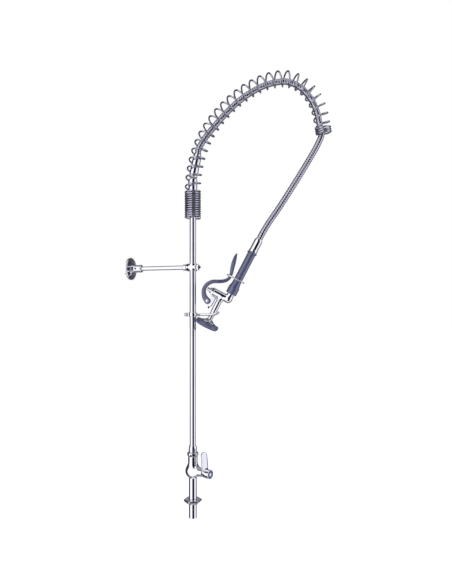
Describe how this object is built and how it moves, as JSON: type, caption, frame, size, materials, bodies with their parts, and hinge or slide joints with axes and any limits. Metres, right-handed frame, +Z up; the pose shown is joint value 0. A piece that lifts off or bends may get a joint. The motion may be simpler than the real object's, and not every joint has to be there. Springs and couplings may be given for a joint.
{
  "type": "pre rinse faucet",
  "caption": "Deck-mounted pre-rinse faucet: single-lever valve, tall riser with wall bracket, overhead spring arching over a steel hose, and a squeeze-lever spray valve on a finger hook.",
  "frame": {"origin": "where the riser axis meets the deck surface, at the underside of the deck seat ring", "axes": "+Z up along the riser pipe, +X from the wall behind towards the user, along the bracket tube; +Y completes the right-handed frame. The spring arch is swung 20 degrees and the hook and spray valve 11 degrees from +X towards +Y"},
  "size_m": [0.5546, 0.1756, 1.2121],
  "materials": {
    "chrome": "mirror polished chrome plate",
    "spring_chrome": "bright plated spring wire",
    "hose_steel": "spiral-wound flexible steel outer tube",
    "brass": "turned brass, dulled",
    "dark_steel": "blackened steel",
    "grip_blue_grey": "satin moulded coating",
    "rubber_blue_grey": "matt moulded rubber",
    "index_blue": "gloss",
    "index_white": "gloss",
    "spray_plate": "satin bright plate"
  },
  "bodies": {
    "stand": {"inlet_shank": "chrome", "deck_seat_ring": "brass", "deck_flange": "chrome", "base_body": "chrome", "body_set_screw": "dark_steel", "riser_nut": "chrome", "riser_pipe": "chrome", "spring_seat": "dark_steel", "overhead_spring": "spring_chrome", "hose_swivel_nut": "chrome", "hose_ferrule_lower": "chrome", "spray_hose": "hose_steel", "wall_flange": "chrome", "wall_screw_lower": "dark_steel", "wall_screw_upper": "dark_steel", "wall_boss": "chrome", "boss_set_screw": "dark_steel", "bracket_tube": "chrome", "riser_clamp": "chrome", "clamp_stud": "dark_steel", "clamp_nut": "chrome", "hook_clamp": "chrome", "hook_clamp_washer": "dark_steel", "hook_clamp_screw": "chrome", "finger_hook": "chrome"},
    "handle": {"base_lever": "chrome", "base_stem": "brass", "lever_set_screw": "dark_steel", "index_ring": "index_blue", "index_disc": "index_white"},
    "spray_valve": {"valve_body": "chrome", "bonnet_nut": "chrome", "bonnet_sleeve": "chrome", "pivot_lug": "chrome", "stop_screw": "dark_steel", "lever_pivot_pin": "chrome", "spout": "chrome", "head_plate": "spray_plate", "bumper": "rubber_blue_grey", "spray_face": "spray_plate", "face_screw": "dark_steel", "grip_tube": "chrome", "grip": "grip_blue_grey", "grip_collar": "grip_blue_grey", "hose_ferrule_upper": "chrome"},
    "lever": {"squeeze_lever": "grip_blue_grey"},
    "plunger": {"plunger": "chrome"},
    "hold_ring": {"hold_ring": "chrome"}
  },
  "joints": [
    {"name": "base_lever_turn", "type": "hinge", "parent": "stand", "child": "handle", "pos_m": [0.04698, -0.0171, 0.088], "axis": [0.9397, -0.342, 0], "range_deg": [0, 90]},
    {"name": "spray_lift_off", "type": "slide", "parent": "stand", "child": "spray_valve", "axis": [0.9816, 0.1908, 0], "range_m": [0, 0.05], "deforming": ["spray_hose", "overhead_spring"]},
    {"name": "squeeze_lever_pivot", "type": "hinge", "parent": "spray_valve", "child": "lever", "pos_m": [0.03974, 0.00772, 0.54543], "axis": [-0.1908, 0.9816, 0], "range_deg": [0, 5], "stiffness_Nm_per_rad": 3, "springref_deg": -17.19},
    {"name": "plunger_push", "type": "slide", "parent": "spray_valve", "child": "plunger", "axis": [0.8699, 0.1691, -0.4633], "range_m": [0, 0.003]},
    {"name": "hold_ring_slide", "type": "slide", "parent": "spray_valve", "child": "hold_ring", "axis": [0.4548, 0.0884, 0.8862], "range_m": [0, 0.006]}
  ],
  "couplings": [
    {"joint": "plunger_push", "follows": "squeeze_lever_pivot", "m_per_rad": 0.03}
  ]
}
